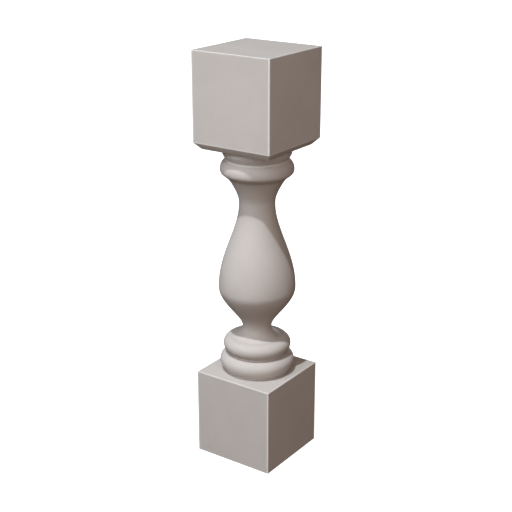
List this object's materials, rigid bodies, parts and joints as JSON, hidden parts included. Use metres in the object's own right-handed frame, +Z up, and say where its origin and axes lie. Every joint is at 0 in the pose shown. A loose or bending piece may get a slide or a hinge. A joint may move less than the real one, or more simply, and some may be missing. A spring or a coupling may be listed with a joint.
{
  "type": "stair baluster",
  "caption": "Stout square-ended baluster: plinth, double torus foot, vase-shaped turned shaft, astragal and square cap block, cast as one stone body.",
  "frame": {"origin": "centre of the plinth's underside, where it stands on the base rail or tread", "axes": "+Z up along the turned shaft; the square blocks' faces look along X and Y"},
  "size_m": [0.15, 0.15, 0.7134],
  "materials": {
    "cast_stone": "matte"
  },
  "bodies": {
    "root": {"stair_spindle": "cast_stone"}
  },
  "joints": []
}
